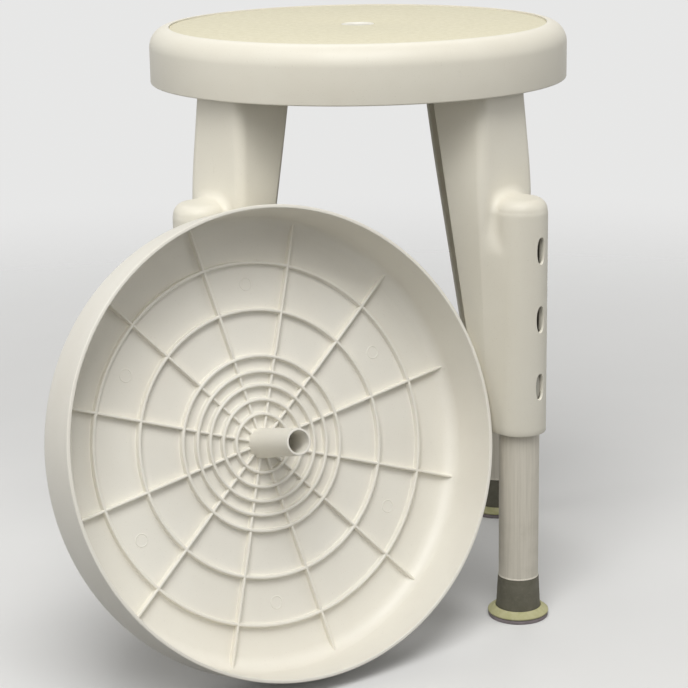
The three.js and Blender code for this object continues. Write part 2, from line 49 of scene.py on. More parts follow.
# Leg channel at three heights: web, inner edge, half width and shift to the side. The bend
# at the middle height is softened over LEG_BEND to either side, and RIDGE rounds its corners.
# The channel is open at the back, so its rounded rectangle runs on by OPEN_BACK there.
LEG_HEIGHTS = (164.5, 362, 470.5)
LEG_WEB = (176, 170.3, 162.3)
LEG_INNER = (158.8, 129.4, 102.4)
LEG_HALF = (21, 32.6, 26.3)
LEG_ASIDE = (0, 2, 2)
LEG_WALL = 3.5
LEG_BEND = 30
RIDGE = 8
OPEN_BACK = 40

# Socket column with a round shoulder. Flats run to it from the ridges, and turn into the web
# between the two heights of FAIRING_FADES. From the first one on, the fillet around the
# socket widens by FILLET_GAIN over FILLET_RISE.
SOCKET_RADIUS = 22
SOCKET_TOP = 362
SHOULDER = 14
FAIRING_FADES = (316, 365)
FILLET, FILLET_GAIN, FILLET_RISE = 0.2, 9, 35

# How the leg's section is sampled: rays from behind the web, the height at which their points
# are evenly spaced, and the steps of the half circle at either edge
RAY_DEPTH = 14.0
RAY_REACH = 120.0
RAY_HALVINGS = 26
SPACING_HEIGHT = 330
TIP_STEPS = 6

# Oval slots for the lock button, and a tube window of the same size
SLOT_HEIGHTS = (205.7, 262.7, 319.7)
LOWEST_SLOT = SLOT_HEIGHTS[0]
SLOT_SIZE = (8.2, 21)
OVAL_POINTS = 40

# Height inside the seat's plate at which its ribs and bosses end
PLATE_INSIDE = 484.4

# The sole's lip has its own rubber up to this height
LIP_HEIGHT = 3.4 * MM

# Where the disc leans: middle of its rim plane, turn and lean
DISC_CENTRE = Vector((-23.923324, -156.142912, 191.546447))
DISC_TURN = math.radians(30.9)
DISC_LEAN = math.radians(15.95)

# The disc's rings, spokes and ejector pin marks: radii, half widths and first angles
DISC_RINGS = (23.5, 35, 46.5, 57.5, 70, 107, 145)
RING_FOOT, RING_EDGE = 1.6, 1.2
SPOKES, FIRST_SPOKE = 12, 18.8
SPOKE_FOOT, SPOKE_EDGE = 1.3, 1.0
PIN_MARKS, FIRST_PIN_MARK, PIN_MARK_REACH = 6, 33.8, 128

# Depths in the disc, from its rim: edges of rings and spokes, floor, spokes' root and back
RING_PLANE = 48.9
SPOKE_PLANE = 48.85
DISC_FLOOR = 53.9
SPOKE_ROOT = 54.6
DISC_BACK = 58.8

# Stage: floor, its fade into the backdrop, lights as (place, size, power), in metres and watts
FLOOR_RADIUS = 4
FLOOR_FADE = (0.5, 1.9)
LIGHT_TARGET = Vector((0, 0, 0.25))
LIGHT_COLOR = (1.0, 0.995, 0.985)
LIGHTS = {
    "key": ((0, -1.2, 2.6), (1.6, 1.2), 42),
    "front": ((-0.3, -1.9, 2.0), (1.4, 1.0), 16),
    "low": ((0, -2.6, 0.9), (1.6, 1.2), 6),
    "left": ((-2.3, -0.4, 0.7), (1.4, 1.4), 12),
    "right": ((2.3, -0.2, 0.8), (1.4, 1.4), 10),
    "back": ((0, 1.7, 2.2), (1.6, 1.2), 12),
}
WORLD_LIGHT = ((1.0, 0.99, 0.97, 1), 0.13)
BACKDROP = ((0.8, 0.8, 0.795, 1), 1.0)

# Camera, solved from the photograph: focal length in its pixels, place, and angles in radians
PHOTO_SIZE = 688
FOCAL_PIXELS = 1989.67
SENSOR = 36
CAMERA_PLACE = STOOL_AXIS + Vector((0, -1712.85, 666.17))
YAW, PITCH, ROLL = -0.0094, 0.2627, -0.0166

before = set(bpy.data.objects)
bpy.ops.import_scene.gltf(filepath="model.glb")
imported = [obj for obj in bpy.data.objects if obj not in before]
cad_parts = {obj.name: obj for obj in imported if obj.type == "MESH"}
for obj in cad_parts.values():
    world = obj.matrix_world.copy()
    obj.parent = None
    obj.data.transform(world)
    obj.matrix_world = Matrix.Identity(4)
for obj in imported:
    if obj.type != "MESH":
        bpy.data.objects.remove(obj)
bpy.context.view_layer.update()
scene = bpy.context.scene


# outlines


def rounded(corners, closed=True, steps=4):
    """Outline points of corners (x, y) or (x, y, radius), with arcs where there is a radius.
    An arc takes less than half of either side."""
    points = []
    count = len(corners)
    for i, corner in enumerate(corners):
        here = np.array(corner[:2], float)
        radius = corner[2] if len(corner) > 2 else 0
        if radius == 0 or (not closed and i in (0, count - 1)):
            points.append(here)
            continue
        back = np.array(corners[i - 1][:2], float) - here
        on = np.array(corners[(i + 1) % count][:2], float) - here
        back_length, on_length = np.linalg.norm(back), np.linalg.norm(on)
        back, on = back / back_length, on / on_length
        half = math.acos(np.clip(back @ on, -1, 1)) / 2
        cut = min(radius / math.tan(half), 0.48 * back_length, 0.48 * on_length)
        middle = (back + on) / np.linalg.norm(back + on)
        centre = here + middle * cut / math.cos(half)
        first = math.atan2(*(here + back * cut - centre)[::-1])
        last = math.atan2(*(here + on * cut - centre)[::-1])
        sweep = (last - first + math.pi) % (2 * math.pi) - math.pi
        reach = cut * math.tan(half)
        for k in range(steps + 1):
            angle = first + sweep * k / steps
            points.append(centre + reach * np.array([math.cos(angle), math.sin(angle)]))
    return points


def arc(centre, radius, start, end, steps):
    """Corners along an arc, from one angle to another in degrees."""
    angles = np.radians(np.linspace(start, end, steps + 1))
    return [(centre[0] + radius * math.cos(a), centre[1] + radius * math.sin(a)) for a in angles]


def oval(width, length, grow=0.0):
    """Outline of a slim oval, its long side along the second axis. The powers below one make
    it a little fuller than an ellipse."""
    angles = 2 * np.pi * np.arange(OVAL_POINTS) / OVAL_POINTS
    across, along = np.cos(angles), np.sin(angles)
    across = np.sign(across) * np.abs(across) ** 0.86
    along = np.sign(along) * np.abs(along) ** 0.94
    return np.column_stack([(width / 2 + grow) * across, (length / 2 + grow) * along])


# meshes as (points, faces)


def lathe(outline, steps=96, closed=True):
    """An outline of (radius, height) turned about the upright axis."""
    outline = np.array([p[:2] for p in outline], float)
    angles = 2 * np.pi * np.arange(steps) / steps
    points = np.zeros((len(outline), steps, 3))
    points[:, :, 0] = outline[:, :1] * np.cos(angles)
    points[:, :, 1] = outline[:, :1] * np.sin(angles)
    points[:, :, 2] = outline[:, 1:]
    rows = len(outline) if closed else len(outline) - 1
    return points.reshape(-1, 3), grid_faces(len(outline), steps, rows)


def grid_faces(loops, around, rows):
    """Quads between rows of points that each close on themselves."""
    faces = []
    for j in range(rows):
        a, b = j * around, (j + 1) % loops * around
        for i in range(around):
            n = (i + 1) % around
            faces.append((a + i, a + n, b + n, b + i))
    return faces


def loft(loops):
    """A solid through loops that have the same number of points, capped at both ends."""
    points = np.array(loops, float)
    count, around = points.shape[:2]
    faces = grid_faces(count, around, count - 1)
    faces.append(tuple(range(around))[::-1])
    faces.append(tuple(range((count - 1) * around, count * around)))
    return points.reshape(-1, 3), faces


def moved(shape, matrix):
    points, faces = shape
    m = np.array(matrix)
    return points @ m[:3, :3].T + m[:3, 3], faces


def together(shapes):
    """Several shapes as one."""
    points, faces, offset = [], [], 0
    for part_points, part_faces in shapes:
        points.append(part_points)
        faces += [tuple(v + offset for v in face) for face in part_faces]
        offset += len(part_points)
    return np.concatenate(points), faces


def turn(degrees):
    return Matrix.Rotation(math.radians(degrees), 4, "Z")


def shift(x, y, z):
    return Matrix.Translation((x, y, z))


# objects


def make_object(name, shape):
    """A closed mesh in millimetres as an object in metres."""
    points, faces = shape
    mesh = bpy.data.meshes.new(name)
    mesh.from_pydata((points * MM).tolist(), [], faces)
    cleaned = bmesh.new()
    cleaned.from_mesh(mesh)
    bmesh.ops.remove_doubles(cleaned, verts=cleaned.verts, dist=1e-6)
    bmesh.ops.recalc_face_normals(cleaned, faces=cleaned.faces)
    cleaned.to_mesh(mesh)
    cleaned.free()
    obj = bpy.data.objects.new(name, mesh)
    scene.collection.objects.link(obj)
    return obj


def combine(obj, shape, operation):
    """Joins or cuts a shape with an object for good."""
    tool = make_object("tool", shape)
    modifier = obj.modifiers.new("combine", "BOOLEAN")
    modifier.operation = operation
    modifier.solver = "EXACT"
    modifier.object = tool
    graph = bpy.context.evaluated_depsgraph_get()
    mesh = bpy.data.meshes.new_from_object(obj.evaluated_get(graph))
    obj.modifiers.clear()
    obj.data = mesh
    bpy.data.objects.remove(tool)


def copied(source, name):
    obj = bpy.data.objects.new(name, source.data.copy())
    scene.collection.objects.link(obj)
    return obj


def place(obj, matrix):
    """Puts a piece made about the origin, in millimetres, at its place in the part."""
    scaled = matrix.copy()
    scaled.translation = matrix.translation * MM
    obj.data.transform(scaled)


def dress(obj, material, body, node):
    """Gives a piece its material and smooth shading, puts it on its body if it has one, and
    hides the imported node that it replaces. A piece without a body is left unattached.
    """
    obj.data.materials.clear()
    obj.data.materials.append(material)
    obj.data.shade_smooth()
    obj.data.set_sharp_from_angle(angle=SMOOTH_BELOW)
    if body:
        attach(obj, body)
    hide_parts(node)


# materials


def to_linear(display):
    """A display colour from 0 to 255 as Blender's scene colour."""
    values = np.array(display, float) / 255
    low = values / 12.92
    high = ((values + 0.055) / 1.055) ** 2.4
    return (*np.where(values <= 0.04045, low, high), 1)


class Surface:
    """A Principled material and the few kinds of node that its detail is made of."""

    def __init__(self, name, metallic=0.0, ior=1.46):
        self.material = bpy.data.materials.new(name)
        self.material.use_nodes = True
        self.tree = self.material.node_tree
        self.shader = self.tree.nodes["Principled BSDF"]
        self.shader.inputs["Metallic"].default_value = metallic
        self.shader.inputs["IOR"].default_value = ior
        self.coordinates = self.tree.nodes.new("ShaderNodeTexCoord").outputs["Object"]
        self.normal = None

    def node(self, kind, **settings):
        made = self.tree.nodes.new(kind)
        for key, value in settings.items():
            setattr(made, key, value)
        return made

    def link(self, start, end):
        self.tree.links.new(start, end)

    def stretched(self, scale):
        mapping = self.node("ShaderNodeMapping")
        mapping.inputs["Scale"].default_value = scale
        self.link(self.coordinates, mapping.inputs["Vector"])
        return mapping.outputs["Vector"]

    def noise(self, scale, detail=3, roughness=0.5, distortion=0, stretch=None):
        made = self.node("ShaderNodeTexNoise")
        made.inputs["Scale"].default_value = scale
        made.inputs["Detail"].default_value = detail
        made.inputs["Roughness"].default_value = roughness
        made.inputs["Distortion"].default_value = distortion
        source = self.coordinates if stretch is None else self.stretched(stretch)
        self.link(source, made.inputs["Vector"])
        return made.outputs["Fac"]

    def cells(self, scale):
        made = self.node("ShaderNodeTexVoronoi")
        made.inputs["Scale"].default_value = scale
        self.link(self.coordinates, made.inputs["Vector"])
        return made.outputs["Distance"]

    def ramp(self, source, low, high, first=(0, 0, 0, 1), last=(1, 1, 1, 1)):
        made = self.node("ShaderNodeValToRGB")
        made.color_ramp.elements[0].position = low
        made.color_ramp.elements[0].color = first
        made.color_ramp.elements[1].position = high
        made.color_ramp.elements[1].color = last
        self.link(source, made.inputs["Fac"])
        return made.outputs["Color"]

    def mix(self, amount, first, last):
        made = self.node("ShaderNodeMix", data_type="RGBA")
        for socket, value in (("Factor", amount), ("A", first), ("B", last)):
            entry = next(s for s in made.inputs if s.name == socket and s.enabled)
            if isinstance(value, bpy.types.NodeSocket):
                self.link(value, entry)
            else:
                entry.default_value = value
        return next(s for s in made.outputs if s.enabled)

    def range(self, source, low, high):
        made = self.node("ShaderNodeMapRange")
        made.inputs["To Min"].default_value = low
        made.inputs["To Max"].default_value = high
        self.link(source, made.inputs["Value"])
        return made.outputs["Result"]

    def bump(self, height, distance, strength):
        """Adds a bump on top of the ones before it."""
        made = self.node("ShaderNodeBump")
        made.inputs["Distance"].default_value = distance
        made.inputs["Strength"].default_value = strength
        self.link(height, made.inputs["Height"])
        if self.normal is not None:
            self.link(self.normal, made.inputs["Normal"])
        self.normal = made.outputs["Normal"]

    def done(self, color, roughness):
        self.link(color, self.shader.inputs["Base Color"])
        self.link(roughness, self.shader.inputs["Roughness"])
        self.link(self.normal, self.shader.inputs["Normal"])
        return self.material


def moulded_plastic(name, color, shade, grime, grain=0.00004):
    """Off-white moulded plastic: cloudy colour, faint specks, sparse scuffs and fine grain."""
    s = Surface(name)
    cloud = s.ramp(s.noise(9, 4, 0.6), 0.35, 0.68, to_linear(shade), to_linear(color))
    specks = s.ramp(s.noise(900, 2), 0.66, 0.74)
    soiled = s.mix(s.range(specks, 0, 0.35), cloud, to_linear(grime))
    scuffs = s.ramp(s.noise(42, 6, 0.72, 1.2, (1, 1, 0.35)), 0.66, 0.74)
    worn = s.mix(s.range(scuffs, 0, 0.3), soiled, to_linear(grime))
    s.bump(s.noise(1500, 3, 0.6), grain, 0.5)
    s.bump(s.noise(14, 2), 0.0004, 0.25)
    return s.done(worn, s.range(s.noise(60, 5, 0.65), 0.4, 0.56))


def grained_panel(name):
    """Cream laminate with a fine pebbled grain and a mottled print."""
    s = Surface(name, ior=1.48)
    dark, light = to_linear((208, 201, 171)), to_linear((223, 217, 190))
    base = s.ramp(s.noise(190, 6, 0.7), 0.3, 0.7, dark, light)
    flecks = s.ramp(s.cells(420), 0.08, 0.3)
    color = s.mix(s.range(flecks, 0.28, 0), base, to_linear((189, 176, 140)))
    s.bump(s.cells(620), 0.00022, 0.6)
    s.bump(s.noise(1600, 3), 0.00008, 0.4)
    return s.done(color, s.range(s.noise(220, 4), 0.45, 0.68))


def drawn_tube(name):
    """Greyish beige tube with fine lengthwise draw lines, rub marks and dull patches."""
    s = Surface(name, ior=1.5)
    lines = s.noise(40, 6, 0.7, 0, (14, 14, 0.25))
    base = s.ramp(lines, 0.3, 0.72, to_linear((206, 200, 185)), to_linear((229, 223, 209)))
    patches = s.ramp(s.noise(26, 5, 0.65), 0.5, 0.72)
    mottled = s.mix(s.range(patches, 0, 0.35), base, to_linear((184, 179, 162)))
    rubs = s.ramp(s.noise(70, 6, 0.75, 0.6, (0.8, 0.8, 2.5)), 0.68, 0.75)
    color = s.mix(s.range(rubs, 0, 0.4), mottled, to_linear((174, 168, 152)))
    s.bump(lines, 0.00005, 0.5)
    s.bump(s.noise(900, 3), 0.00003, 0.4)
    return s.done(color, s.range(s.noise(90, 5), 0.42, 0.6))


def rubber(name, color, shade, dust):
    """Matte rubber with mottled colour, dust and a pitted surface."""
    s = Surface(name, ior=1.5)
    base = s.ramp(s.noise(120, 5, 0.65), 0.32, 0.7, to_linear(shade), to_linear(color))
    dusty = s.ramp(s.noise(260, 6, 0.7), 0.55, 0.72)
    worn = s.mix(s.range(dusty, 0, 0.4), base, to_linear(dust))
    s.bump(s.noise(700, 4, 0.6), 0.0001, 0.6)
    return s.done(worn, s.range(s.noise(140, 4), 0.6, 0.82))


def bright_steel(name, color, stretch):
    """Bare steel with fine marks along the strip or round the head."""
    s = Surface(name, metallic=1.0)
    marks = s.noise(160, 5, 0.7, 0, stretch)
    shade = tuple(v * 0.86 for v in color)
    base = s.ramp(marks, 0.3, 0.7, to_linear(shade), to_linear(color))
    s.bump(marks, 0.00003, 0.4)
    return s.done(base, s.range(s.noise(240, 4), 0.22, 0.42))


moulding = moulded_plastic("stool_plastic", (232, 228, 214), (227, 222, 207), (202, 195, 178))
disc_plastic = moulded_plastic(
    "disc_plastic", (234, 231, 221), (229, 225, 214), (204, 198, 185), grain=0.00005
)
button_plastic = moulded_plastic(
    "button_plastic", (178, 175, 164), (168, 165, 153), (140, 136, 124)
)
bush_plastic = moulded_plastic("bush_plastic", (240, 238, 229), (234, 231, 220), (206, 200, 184))
panel = grained_panel("seat_panel")
tube_finish = drawn_tube("tube_finish")
plug_rubber = rubber("plug_rubber", (104, 101, 88), (90, 88, 74), (126, 122, 106))
sole_rubber = rubber("sole_rubber", (190, 186, 146), (174, 172, 126), (203, 199, 172))
lip_rubber = rubber("sole_lip_rubber", (150, 140, 142), (128, 120, 122), (168, 160, 158))
spring_steel = bright_steel("spring_steel", (206, 208, 210), (1, 1, 6))
screw_steel = bright_steel("screw_steel", (196, 198, 200), (4, 4, 1))


# seat


def seat_rib(angle):
    """A rib under the seat plate, with softened lower edges."""
    reaches = np.array([16.2, 60, 110, 157.5, 166, 176.2])
    tops = np.interp(reaches, [157.5, 176.2], [PLATE_INSIDE, 474.5])
    section = rounded([(-1.3, 500), (-1.3, 466.5, 0.6), (1.3, 466.5, 0.6), (1.3, 500)])
    loops = [[(x, y, min(z, top)) for y, z in section] for x, top in zip(reaches, tops)]
    return moved(loft(loops), turn(angle))


def screw_boss(x, y):
    """A boss under the plate with a blind hole for the screw."""
    outline = [
        (0, PLATE_INSIDE),
        (6, PLATE_INSIDE),
        (6, 470.8, 0.5),
        (2.5, 470.8),
        (2.5, 480.1),
        (0, 480.1),
    ]
    return moved(lathe(rounded(outline, False), 32, False), shift(x, y, 0))


def seat_shell():
    """The seat's shell with its bush socket, ribs and bosses."""
    angles = np.radians(range(0, 91, 6))
    edge = [(161.8 + 16.2 * math.cos(a), 473 + 17 * math.sin(a)) for a in angles]
    outline = rounded(
        [
            (174.5, 443.5, 1.2),
            (178, 443.5, 1.2),
            *edge,
            (161, 489.85),
            (160.9, 486.5, 0.3),
            (14.4, 486.5),
            (14.4, 447.8),
            (17.9, 447.8, 0.6),
            (17.9, 482.5, 2),
            (174.5, 482.5, 13.5),
        ]
    )
    shapes = [lathe(outline, 256)]
    for quarter in (0, 90, 180, 270):
        shapes += [seat_rib(quarter + angle) for angle in (0, 22.5, 67.5)]
        for x, y in SCREW_PLACES.values():
            shapes.append(moved(screw_boss(x, y), turn(quarter + 45)))
    return together(shapes)


def seat_panel():
    outline = [(14.4, 486.8), (160.7, 486.8), (160.7, 488.8, 0.7), (14.4, 488.8, 0.5)]
    return lathe(rounded(outline), 256)


def pivot_bush():
    """The bush in the seat's middle, with a flange below and a chamfered mouth."""
    outline = [
        (12.5, 445.3, 0.5),
        (16.15, 445.3, 0.6),
        (16.15, 447.5),
        (14.1, 447.5),
        (14.1, 488.8, 0.3),
        (13.7, 488.8),
        (12.5, 487.4, 0.5),
    ]
    return lathe(rounded(outline), 96)


# legs, outward along X from the stool's axis


def leg_size(table, height):
    """A size of the channel at a height, with its bend at the middle height softened."""
    lower = (table[1] - table[0]) / (LEG_HEIGHTS[1] - LEG_HEIGHTS[0])
    upper = (table[2] - table[1]) / (LEG_HEIGHTS[2] - LEG_HEIGHTS[1])
    near = np.maximum(LEG_BEND - np.abs(height - LEG_HEIGHTS[1]), 0)
    return np.interp(height, LEG_HEIGHTS, table) + (upper - lower) * near**2 / (4 * LEG_BEND)


def channel_field(x, y, z, inset=0.0):
    """Signed distance to the channel's rounded rectangle, seen from above."""
    radius = RIDGE - inset
    half = leg_size(LEG_HALF, z) - RIDGE
    web = leg_size(LEG_WEB, z) - RIDGE
    inner = leg_size(LEG_INNER, z) - OPEN_BACK
    middle, reach = (web + inner) / 2, (web - inner) / 2
    across = np.abs(y - leg_size(LEG_ASIDE, z)) - half
    along = np.abs(x - middle) - reach
    outside = np.hypot(np.maximum(across, 0), np.maximum(along, 0))
    return outside + np.minimum(np.maximum(across, along), 0) - radius


def fairing_field(x, y, z):
    """Signed distance to the flats that run from the ridges to the socket, tangent to both.
    Beside the socket's shoulder they turn about the ridges into the web. A flat ends at its
    tangent points."""
    first, last = FAIRING_FADES
    share = np.clip((z - first) / (last - first), 0, 1)
    web = leg_size(LEG_WEB, z) - TUBE_REACH
    radius = SOCKET_RADIUS - (SOCKET_RADIUS - web) * share**2 * (3 - 2 * share)
    bounds = []
    ridge_x = web - RIDGE
    for side in (-1, 1):
        ridge_y = leg_size(LEG_HALF, z) - RIDGE + side * leg_size(LEG_ASIDE, z)
        line = np.arctan2(ridge_y, ridge_x)
        lean = line - np.arccos((radius - RIDGE) / np.hypot(ridge_x, ridge_y))
        out, aside = x - TUBE_REACH, side * y
        bounds.append(np.cos(lean) * out + np.sin(lean) * aside - radius)
        bounds.append(np.cos(lean) * (aside - ridge_y) - np.sin(lean) * (out - ridge_x))
        bounds.append(np.where(aside > 0, out - radius * np.cos(lean), -np.inf))
    return np.maximum.reduce(bounds)


def soft_minimum(a, b, width):
    """The smaller field, with a fillet where the two are within the width of each other."""
    share = np.maximum(width - np.abs(a - b), 0) / width
    return np.minimum(a, b) - share**2 * width / 4


def leg_field(x, y, z):
    """Signed distance to the leg's outside: channel, flats, and the socket with its round
    shoulder. The fillet around the socket widens where the flats turn away."""
    column = np.hypot(x - TUBE_REACH, y) - SOCKET_RADIUS
    aside, above = column + SHOULDER, z - (SOCKET_TOP - SHOULDER)
    outside = np.hypot(np.maximum(aside, 0), np.maximum(above, 0))
    socket = outside + np.minimum(np.maximum(aside, above), 0) - SHOULDER
    flanks = np.minimum(channel_field(x, y, z), fairing_field(x, y, z))
    fillet = FILLET + FILLET_GAIN * np.clip((z - FAIRING_FADES[0]) / FILLET_RISE, 0, 1)
    return soft_minimum(flanks, socket, fillet)


def ray_hits(field, centre, angles, height):
    """Points on rays from the centre at which the field turns positive, by halving."""
    cos, sin = np.cos(angles), np.sin(angles)
    near, far = np.zeros_like(angles), np.full_like(angles, RAY_REACH)
    height = np.full_like(angles, height)
    for _ in range(RAY_HALVINGS):
        middle = (near + far) / 2
        inside = field(centre[0] + middle * cos, centre[1] + middle * sin, height) < 0
        near, far = np.where(inside, middle, near), np.where(inside, far, middle)
    return np.stack([centre[0] + near * cos, centre[1] + near * sin], 1)


def leg_line(height, inset, shares):
    """The open U of the leg's outer (inset 0) or inner face at one height, a point for each
    share of the turn."""
    aside = float(leg_size(LEG_ASIDE, height))
    centre = (float(leg_size(LEG_WEB, height)) - RAY_DEPTH, aside * 0.5)
    inner = float(leg_size(LEG_INNER, height)) + LEG_WALL / 2
    half = float(leg_size(LEG_HALF, height)) - inset
    first = math.atan2(aside - half - centre[1], inner - centre[0])
    last = math.atan2(aside + half - centre[1], inner - centre[0])
    angles = first + (last - first) * shares

    def inner_field(x, y, z):
        return channel_field(x, y, z, inset)

    return ray_hits(inner_field if inset else leg_field, centre, angles, height)


def even_shares(inset, count):
    """Shares of the turn that space the points evenly at SPACING_HEIGHT. Every height uses
    the same shares, so the columns of the mesh run straight up the leg."""
    shares = np.linspace(0, 1, 1201)
    points = leg_line(SPACING_HEIGHT, inset, shares)
    along = np.concatenate([[0], np.cumsum(np.linalg.norm(np.diff(points, axis=0), axis=1))])
    return np.interp(np.linspace(0, along[-1], count), along, shares)


OUTER_SHARES = even_shares(0, 220)
INNER_SHARES = even_shares(LEG_WALL, 120)


def leg_wall_loop(height, shrink=0.0):
    """The closed section of the leg's wall, its two inner edges rounded."""
    outer = leg_line(height, 0, OUTER_SHARES)
    inner = leg_line(height, LEG_WALL, INNER_SHARES)
    tips = []
    for a, b in ((outer[-1], inner[-1]), (inner[0], outer[0])):
        middle, radius = (a + b) / 2, np.linalg.norm(a - b) / 2
        start = math.atan2(*(a - middle)[::-1])
        for k in range(1, TIP_STEPS):
            angle = start + math.pi * k / TIP_STEPS
            tip = middle + radius * np.array([math.cos(angle), math.sin(angle)])
            mirrored = middle + radius * np.array([-abs(math.cos(angle)), math.sin(angle)])
            tips.append(tip if tip[0] <= middle[0] + 1e-6 else mirrored)
    split = TIP_STEPS - 1
    loop = np.concatenate([outer, tips[:split], inner[::-1], tips[split:]])
    if shrink:
        on = np.roll(loop, -1, 0) - np.roll(loop, 1, 0)
        normal = np.stack([on[:, 1], -on[:, 0]], 1) / np.linalg.norm(on, axis=1)[:, None]
        loop = loop - normal * shrink
    return np.column_stack([loop, np.full(len(loop), height)])


def leg_wall():
    """The leg's wall as a loft, with close loops around the socket's shoulder."""
    bottom, top = LEG_HEIGHTS[0], LEG_HEIGHTS[2]
    heights = np.concatenate(
        [
            np.arange(bottom + 1, 260, 4.5),
            np.arange(260, 340, 3),
            np.arange(340, 372, 0.75),
            np.arange(372, top - 1, 4.5),
        ]
    )
    loops = [leg_wall_loop(bottom + 1.0, 1.0), leg_wall_loop(bottom + 1.0, 0.3)]
    loops[0][:, 2], loops[1][:, 2] = bottom, bottom + 0.3
    loops += [leg_wall_loop(h) for h in heights]
    loops.append(leg_wall_loop(top))
    return loft(loops)


def leg_top_plate():
    """The plate across the channel's top that the screws pass through."""
    outline = leg_line(468, 0.6, INNER_SHARES)
    loops = [np.column_stack([outline, np.full(len(outline), z)]) for z in (465.5, 470.4)]
    return loft(loops)


def slot_cutter(height):
    """An oval cutter that flares where it leaves the socket's face."""
    flare = [(x, 0.8 * ((x - 19.8) / 2.2) ** 1.7) for x in np.arange(20.0, 23.0, 0.35)]
    stations = [(8, 0), (19.7, 0), *flare]
    loops = [
        [(TUBE_REACH + x, y, z + height) for y, z in oval(*SLOT_SIZE, grow)]
        for x, grow in stations
    ]
    return loft(loops)


def leg_moulding():
    """The whole leg: wall, solid column and top plate, with bore, keyway, slots and holes. The
    column lies 0.4 mm inside the wall's own face."""
    leg = make_object("leg", leg_wall())
    at_tube = shift(TUBE_REACH, 0, 0)
    column = [(0, 164.7), (21.6, 164.7, 1), (21.6, 361.4, 13.6), (0, 361.4)]
    combine(leg, moved(lathe(rounded(column, False, 10), 96, False), at_tube), "UNION")
    combine(leg, leg_top_plate(), "UNION")
    bore = [(0, 150), (18.6, 150), (18.6, 163.8), (17, 165.5), (17, 357, 2), (0, 357)]
    combine(leg, moved(lathe(rounded(bore, False), 96, False), at_tube), "DIFFERENCE")
    keyway = rounded([(0, -4.1), (20, -4.1, 0.8), (20, 4.1, 0.8), (0, 4.1)])
    keyway = [[(TUBE_REACH + x, y, z) for x, y in keyway] for z in (160.5, 343)]
    combine(leg, loft(keyway), "DIFFERENCE")
    for height in SLOT_HEIGHTS:
        combine(leg, slot_cutter(height), "DIFFERENCE")
    for x, y in SCREW_PLACES.values():
        hole = lathe([(0, 460), (2.5, 460), (2.5, 475), (0, 475)], 32, False)
        combine(leg, moved(hole, shift(x, y, 0)), "DIFFERENCE")
    return leg


# pieces on the axis of one leg's tube


def extension_tube():
    """The tube with its window. The close points near the ends keep its long face's shading
    straight."""
    outline = [
        (14.3, 36.2, 0.4),
        (17.1, 36.2, 0.3),
        (17.1, 36.9, 0.35),
        (16.7, 37.4, 0.3),
        (16.7, 38.5),
        (16.7, 224.5),
        (16.7, 225.7, 0.8),
        (14.3, 225.7, 0.5),
    ]
    tube = make_object("tube", lathe(rounded(outline), 96))
    window = [[(x, y, z + LOWEST_SLOT) for y, z in oval(*SLOT_SIZE)] for x in (6, 20)]
    combine(tube, loft(window), "DIFFERENCE")
    return tube


def foot_plug():
    """The rubber sleeve below the tube, with a stem up into it and a socket for the sole."""
    outline = [
        (0, 15.5),
        (9.3, 15.5),
        (9.3, 4.5),
        (18.8, 4.5, 0.5),
        (18.75, 6.6, 0.5),
        (17.25, 35.9, 0.4),
        (14, 35.9),
        (14, 61, 1),
        (0, 61),
    ]
    return lathe(rounded(outline, False), 96, False)


def foot_sole():
    """The sole: a grooved lip, a flange with a cone around the plug, and a stem."""
    outline = [
        (0, 0),
        (25.2, 0, 0.5),
        (25.3, 2.9, 0.5),
        (24.4, 3.1, 0.15),
        (24.4, 3.7, 0.15),
        (25.6, 3.9, 0.3),
        (25.7, 5.1, 1.0),
        (20.6, 8.8, 1.5),
        (19.1, 9.3, 0.3),
        (19.1, 3.6, 0.3),
        (9, 3.6, 0.2),
        (9, 15.2, 0.6),
        (0, 15.2),
    ]
    return lathe(rounded(outline, False), 96, False)


def lock_button():
    """The oval button with a rounded face, and its base flange inside the tube."""
    shaft = [(11.5, 0), (18.1, 0), (18.6, -0.15), (19.0, -0.5), (19.25, -1.0), (19.4, -1.9)]
    loops = [[(x, y, z + LOWEST_SLOT) for y, z in oval(7.6, 20.4, grow)] for x, grow in shaft]
    base = [(11.3, -0.3), (11.5, 0), (12.6, 0), (12.8, -0.3)]
    base = [[(x, y, z + LOWEST_SLOT) for y, z in oval(10.6, 23.4, grow)] for x, grow in base]
    return together([loft(loops), loft(base)])


def lock_spring():
    """A leaf spring behind the button: down the tube's back wall, round a bend and up to the
    button's base."""
    corners = [(-13.3, 10.5), (-13.3, -54.2, 3.4), (10.6, 0, 3), (10.6, 10.5)]
    path = np.array(rounded(corners, False, 16))
    along = np.concatenate([[0], np.cumsum(np.linalg.norm(np.diff(path, axis=0), axis=1))])
    stations = np.linspace(0, along[-1], 120)
    path = np.column_stack([np.interp(stations, along, path[:, k]) for k in (0, 1)])
    on = np.gradient(path, axis=0)
    on /= np.linalg.norm(on, axis=1)[:, None]
    strip = [(-0.4, -3, 0.25), (0.4, -3, 0.25), (0.4, 3, 0.25), (-0.4, 3, 0.25)]
    section = rounded(strip, steps=3)
    loops = [
        [(x - u * dz, y, z + u * dx + LOWEST_SLOT) for u, y in section]
        for (x, z), (dx, dz) in zip(path, on)
    ]
    return loft(loops)


